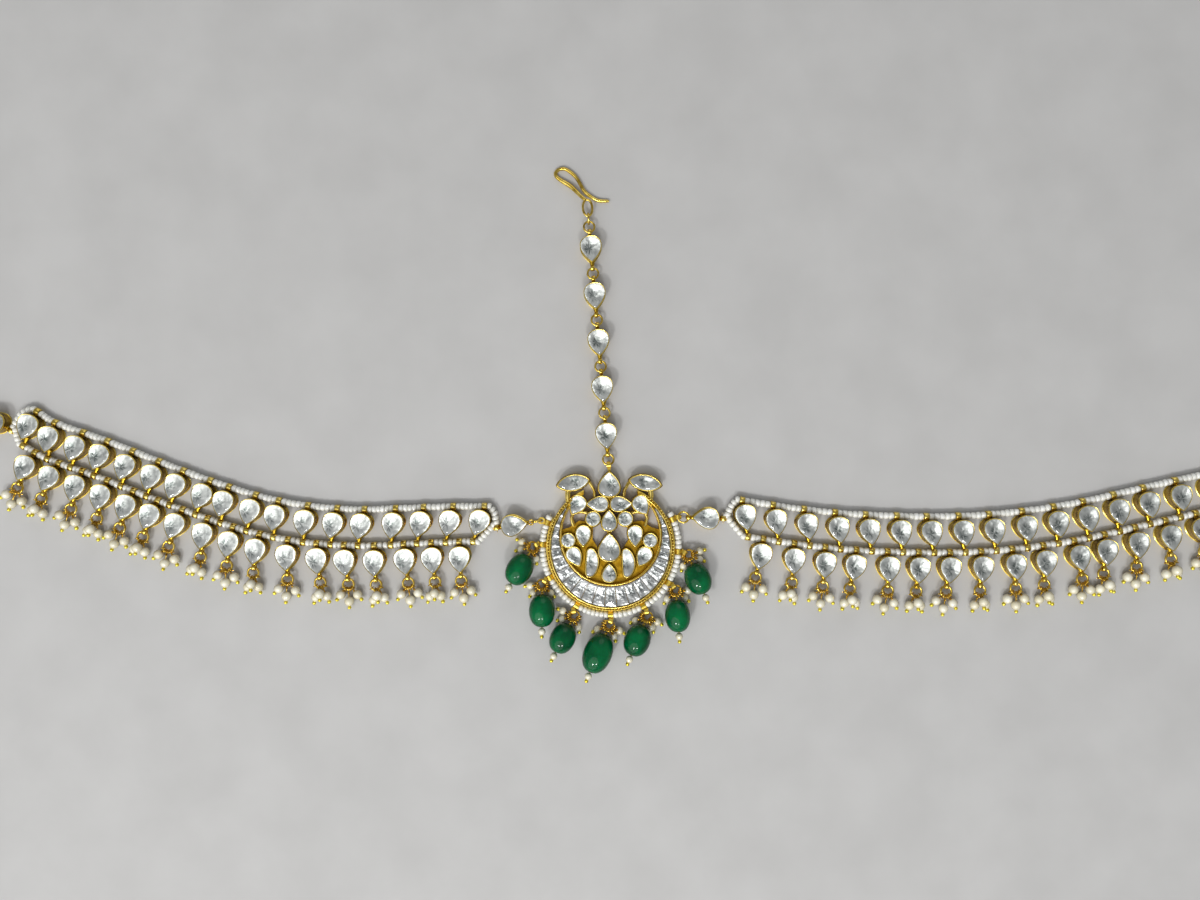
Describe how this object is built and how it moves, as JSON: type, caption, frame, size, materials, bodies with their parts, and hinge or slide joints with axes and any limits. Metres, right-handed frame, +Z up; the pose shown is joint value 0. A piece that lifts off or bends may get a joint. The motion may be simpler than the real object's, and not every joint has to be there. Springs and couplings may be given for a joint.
{
  "type": "matha patti head ornament",
  "caption": "Indian head ornament laid flat: crescent pendant with green bead drops, centre chain with hair hook, and side strands of pear settings on doubled seed pearl strings.",
  "frame": {"origin": "centre of the pendant's crescent, on the surface that the ornament lies on", "axes": "+X to the right along the strands, +Y up the centre chain to the hair hook, +Z up off the surface"},
  "size_m": [0.4127, 0.153, 0.0087],
  "materials": {
    "gold": "polished gold plate",
    "kundan_stone": "foil-backed cut glass",
    "baguette": "foil-backed step-cut glass",
    "pearl": "pearl lustre",
    "seed_pearl": "pearl lustre",
    "emerald_bead": "polished glass"
  },
  "bodies": {
    "root": {"bead_clusters": "pearl", "bead_pin_1": "gold", "bead_pin_2": "gold", "bead_pin_3": "gold", "bead_pin_4": "gold", "bead_pin_5": "gold", "bead_pin_6": "gold", "bead_pin_7": "gold", "chain_rings": "gold", "chain_setting_1": "gold", "chain_setting_2": "gold", "chain_setting_3": "gold", "chain_setting_4": "gold", "chain_setting_5": "gold", "chain_stone_1": "kundan_stone", "chain_stone_2": "kundan_stone", "chain_stone_3": "kundan_stone", "chain_stone_4": "kundan_stone", "chain_stone_5": "kundan_stone", "crescent_stones": "baguette", "green_bead_1": "emerald_bead", "green_bead_2": "emerald_bead", "green_bead_3": "emerald_bead", "green_bead_4": "emerald_bead", "green_bead_5": "emerald_bead", "green_bead_6": "emerald_bead", "green_bead_7": "emerald_bead", "hair_hook": "gold", "left_end_hook": "gold", "left_end_setting": "gold", "left_end_stone": "kundan_stone", "left_inner_setting": "gold", "left_inner_stone": "kundan_stone", "left_lower_settings": "gold", "left_lower_stones": "kundan_stone", "left_pearl_drops": "pearl", "left_pearl_string": "seed_pearl", "left_upper_settings": "gold", "left_upper_stones": "kundan_stone", "pendant_frame": "gold", "pendant_pearl_string": "seed_pearl", "pendant_stones": "kundan_stone", "right_end_hook": "gold", "right_end_setting": "gold", "right_end_stone": "kundan_stone", "right_inner_setting": "gold", "right_inner_stone": "kundan_stone", "right_lower_settings": "gold", "right_lower_stones": "kundan_stone", "right_pearl_drops": "pearl", "right_pearl_string": "seed_pearl", "right_upper_settings": "gold", "right_upper_stones": "kundan_stone", "side_rings": "gold"}
  },
  "joints": []
}
